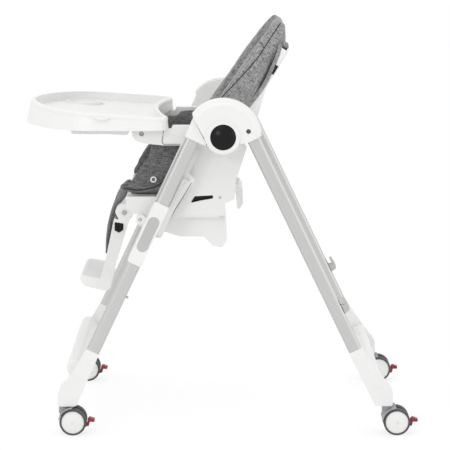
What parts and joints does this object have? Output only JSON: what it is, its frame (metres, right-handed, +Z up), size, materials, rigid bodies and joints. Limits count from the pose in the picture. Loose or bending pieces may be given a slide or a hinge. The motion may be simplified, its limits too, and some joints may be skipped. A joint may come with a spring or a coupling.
{
  "type": "baby high chair",
  "caption": "Folding baby high chair: height-adjustable reclining padded seat on aluminium A-frame legs, with swing-up footrest, sliding tray with liner and braked casters.",
  "frame": {"origin": "floor, at the middle of the chair's plan", "axes": "+Z up, -Y the way the child faces, +X the child's left; the wheels stand on Z = 0"},
  "size_m": [0.595, 0.8502, 0.8747],
  "materials": {
    "white_plastic": "fine satin, moulded",
    "aluminium": "satin anodised",
    "steel": "zinc plated",
    "black_plastic": "gloss, moulded",
    "grey_plastic": "matt, moulded",
    "red_plastic": "satin, moulded",
    "tyre": "matt soft tread",
    "fabric": "heather grey woven melange",
    "webbing": "flat woven webbing"
  },
  "bodies": {
    "front_frame": {"front_leg_left": "aluminium", "front_leg_right": "aluminium", "front_foot_left": "white_plastic", "front_foot_right": "white_plastic", "front_crossbar": "white_plastic", "front_hub_left": "white_plastic", "front_hub_right": "white_plastic", "fold_axles": "steel"},
    "rear_frame": {"rear_leg_left": "aluminium", "rear_leg_right": "aluminium", "rear_foot_left": "white_plastic", "rear_foot_right": "white_plastic", "rear_crossbar": "white_plastic", "rear_hub_left": "white_plastic", "rear_hub_right": "white_plastic", "tray_hooks": "grey_plastic"},
    "carriage": {"slider_left": "white_plastic", "slider_right": "white_plastic", "slider_inserts": "grey_plastic", "armrest_left": "white_plastic", "armrest_right": "white_plastic", "seat_shell": "white_plastic", "seat_base": "white_plastic", "seat_cushion": "fabric", "seat_straps": "webbing", "harness_buckle": "black_plastic", "footrest_pins": "steel"},
    "backrest": {"backrest_shell": "white_plastic", "backrest_cushion": "fabric", "shoulder_straps": "webbing"},
    "recline_handle": {"recline_handle": "white_plastic"},
    "footrest": {"footrest_frame": "white_plastic", "calf_pad": "fabric"},
    "tray": {"tray_base": "white_plastic"},
    "tray_liner": {"tray_liner": "white_plastic"},
    "tray_latch": {"tray_latch": "white_plastic"},
    "fold_button_left": {"fold_button_left": "black_plastic"},
    "height_lever_left": {"height_lever_left": "white_plastic"},
    "footrest_button_left": {"footrest_button_left": "black_plastic"},
    "front_caster_left": {"front_caster_fork_left": "grey_plastic"},
    "front_wheels_left": {"front_caster_tyres_left": "tyre", "front_caster_discs_left": "white_plastic"},
    "front_brake_left": {"front_caster_brake_left": "red_plastic"},
    "rear_caster_left": {"rear_caster_fork_left": "grey_plastic"},
    "rear_wheels_left": {"rear_caster_tyres_left": "tyre", "rear_caster_discs_left": "white_plastic"},
    "rear_brake_left": {"rear_caster_brake_left": "red_plastic"},
    "fold_button_right": {"fold_button_right": "black_plastic"},
    "height_lever_right": {"height_lever_right": "white_plastic"},
    "footrest_button_right": {"footrest_button_right": "black_plastic"},
    "front_caster_right": {"front_caster_fork_right": "grey_plastic"},
    "front_wheels_right": {"front_caster_tyres_right": "tyre", "front_caster_discs_right": "white_plastic"},
    "front_brake_right": {"front_caster_brake_right": "red_plastic"},
    "rear_caster_right": {"rear_caster_fork_right": "grey_plastic"},
    "rear_wheels_right": {"rear_caster_tyres_right": "tyre", "rear_caster_discs_right": "white_plastic"},
    "rear_brake_right": {"rear_caster_brake_right": "red_plastic"}
  },
  "joints": [
    {"name": "fold", "type": "hinge", "parent": "front_frame", "child": "rear_frame", "pos_m": [0, 0.0085, 0.639], "axis": [-1, 0, 0], "range_deg": [0, 48]},
    {"name": "seat_height", "type": "slide", "parent": "front_frame", "child": "carriage", "axis": [0, 0.4258, 0.9048], "range_m": [-0.07, 0.125]},
    {"name": "recline", "type": "hinge", "parent": "carriage", "child": "backrest", "pos_m": [0, 0.025, 0.54], "axis": [-1, 0, 0], "range_deg": [-22, 25]},
    {"name": "recline_release", "type": "hinge", "parent": "carriage", "child": "recline_handle", "pos_m": [0, 0.043, 0.502], "axis": [1, 0, 0], "range_deg": [0, 20], "stiffness_Nm_per_rad": 1.2},
    {"name": "footrest_swing", "type": "hinge", "parent": "carriage", "child": "footrest", "pos_m": [0, -0.204, 0.464], "axis": [-1, 0, 0], "range_deg": [0, 55]},
    {"name": "tray_slide", "type": "slide", "parent": "carriage", "child": "tray", "axis": [0, -1, 0], "range_m": [0, 0.08]},
    {"name": "liner_lift", "type": "slide", "parent": "tray", "child": "tray_liner", "axis": [0, 0.068, 0.9977], "range_m": [0, 0.15]},
    {"name": "tray_release", "type": "slide", "parent": "tray", "child": "tray_latch", "axis": [0, -0.9977, 0.068], "range_m": [0, 0.006], "stiffness_N_per_m": 500},
    {"name": "fold_button_press_left", "type": "slide", "parent": "rear_frame", "child": "fold_button_left", "axis": [-1, 0, 0], "range_m": [0, 0.005], "stiffness_N_per_m": 900},
    {"name": "height_release_left", "type": "slide", "parent": "carriage", "child": "height_lever_left", "axis": [0, 0.4258, 0.9048], "range_m": [0, 0.008], "stiffness_N_per_m": 700},
    {"name": "footrest_release_left", "type": "slide", "parent": "footrest", "child": "footrest_button_left", "axis": [-1, 0, 0], "range_m": [0, 0.004], "stiffness_N_per_m": 600},
    {"name": "front_swivel_left", "type": "hinge", "parent": "front_frame", "child": "front_caster_left", "pos_m": [0.262, -0.332, 0.08], "axis": [0, 0, 1], "continuous": true},
    {"name": "front_wheel_spin_left", "type": "hinge", "parent": "front_caster_left", "child": "front_wheels_left", "pos_m": [0.262, -0.312, 0.0285], "axis": [1, 0, 0], "continuous": true},
    {"name": "front_brake_press_left", "type": "hinge", "parent": "front_caster_left", "child": "front_brake_left", "pos_m": [0.262, -0.312, 0.0285], "axis": [-1, 0, 0], "range_deg": [0, 12]},
    {"name": "rear_swivel_left", "type": "hinge", "parent": "rear_frame", "child": "rear_caster_left", "pos_m": [0.262, 0.359, 0.08], "axis": [0, 0, 1], "continuous": true},
    {"name": "rear_wheel_spin_left", "type": "hinge", "parent": "rear_caster_left", "child": "rear_wheels_left", "pos_m": [0.262, 0.379, 0.0285], "axis": [1, 0, 0], "continuous": true},
    {"name": "rear_brake_press_left", "type": "hinge", "parent": "rear_caster_left", "child": "rear_brake_left", "pos_m": [0.262, 0.379, 0.0285], "axis": [-1, 0, 0], "range_deg": [0, 12]},
    {"name": "fold_button_press_right", "type": "slide", "parent": "rear_frame", "child": "fold_button_right", "axis": [1, 0, 0], "range_m": [0, 0.005], "stiffness_N_per_m": 900},
    {"name": "height_release_right", "type": "slide", "parent": "carriage", "child": "height_lever_right", "axis": [0, 0.4258, 0.9048], "range_m": [0, 0.008], "stiffness_N_per_m": 700},
    {"name": "footrest_release_right", "type": "slide", "parent": "footrest", "child": "footrest_button_right", "axis": [1, 0, 0], "range_m": [0, 0.004], "stiffness_N_per_m": 600},
    {"name": "front_swivel_right", "type": "hinge", "parent": "front_frame", "child": "front_caster_right", "pos_m": [-0.262, -0.332, 0.08], "axis": [0, 0, 1], "continuous": true},
    {"name": "front_wheel_spin_right", "type": "hinge", "parent": "front_caster_right", "child": "front_wheels_right", "pos_m": [-0.262, -0.312, 0.0285], "axis": [1, 0, 0], "continuous": true},
    {"name": "front_brake_press_right", "type": "hinge", "parent": "front_caster_right", "child": "front_brake_right", "pos_m": [-0.262, -0.312, 0.0285], "axis": [-1, 0, 0], "range_deg": [0, 12]},
    {"name": "rear_swivel_right", "type": "hinge", "parent": "rear_frame", "child": "rear_caster_right", "pos_m": [-0.262, 0.359, 0.08], "axis": [0, 0, 1], "continuous": true},
    {"name": "rear_wheel_spin_right", "type": "hinge", "parent": "rear_caster_right", "child": "rear_wheels_right", "pos_m": [-0.262, 0.379, 0.0285], "axis": [1, 0, 0], "continuous": true},
    {"name": "rear_brake_press_right", "type": "hinge", "parent": "rear_caster_right", "child": "rear_brake_right", "pos_m": [-0.262, 0.379, 0.0285], "axis": [-1, 0, 0], "range_deg": [0, 12]}
  ]
}
